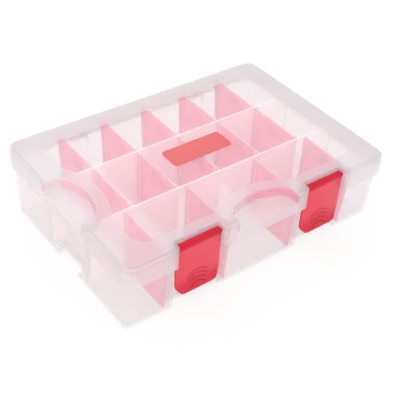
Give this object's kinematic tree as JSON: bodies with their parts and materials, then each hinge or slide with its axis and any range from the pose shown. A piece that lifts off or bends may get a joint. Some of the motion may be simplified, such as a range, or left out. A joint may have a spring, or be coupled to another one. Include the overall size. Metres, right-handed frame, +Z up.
{
  "type": "compartment organizer case",
  "caption": "Flat frosted plastic parts case: tray with fixed walls and slotted lift-out dividers, hinged lid with sunk window and finger recesses, red snap latches",
  "frame": {"origin": "middle of the closed case's bounding box in plan, on the surface that the case stands on", "axes": "+X to the right along the long latch side seen from the front, +Y back to the hinge side, +Z up; the latches face -Y"},
  "size_m": [0.318, 0.2284, 0.08],
  "materials": {
    "tray_clear": "frosted natural polypropylene",
    "lid_clear": "frosted natural polypropylene with a clearer window",
    "divider_rose": "thin translucent red polypropylene",
    "latch_red": "satin opaque red",
    "label_red": "flat printed plate, left bare",
    "pin_white": "white plastic rod"
  },
  "bodies": {
    "base": {"tray": "tray_clear", "hinge_pin_left": "pin_white", "hinge_pin_right": "pin_white", "divider_back_1": "divider_rose", "divider_back_2": "divider_rose", "divider_back_3": "divider_rose", "divider_back_4": "divider_rose", "divider_back_5": "divider_rose", "divider_middle_1": "divider_rose", "divider_middle_2": "divider_rose", "divider_middle_3": "divider_rose", "divider_middle_4": "divider_rose", "divider_middle_5": "divider_rose", "divider_front_1": "divider_rose", "divider_front_2": "divider_rose", "divider_front_3": "divider_rose", "divider_front_4": "divider_rose"},
    "cover": {"lid": "lid_clear", "label_plate": "label_red"},
    "left_latch": {"latch_left": "latch_red"},
    "right_latch": {"latch_right": "latch_red"}
  },
  "joints": [
    {"name": "lid_hinge", "type": "hinge", "parent": "base", "child": "cover", "pos_m": [0, 0.1108, 0.057], "axis": [-1, 0, 0], "range_deg": [0, 180]},
    {"name": "latch_left_pivot", "type": "hinge", "parent": "cover", "child": "left_latch", "pos_m": [-0.0772, -0.10495, 0.0727], "axis": [-1, 0, 0], "range_deg": [0, 110]},
    {"name": "latch_right_pivot", "type": "hinge", "parent": "cover", "child": "right_latch", "pos_m": [0.0772, -0.10495, 0.0727], "axis": [-1, 0, 0], "range_deg": [0, 110]}
  ]
}
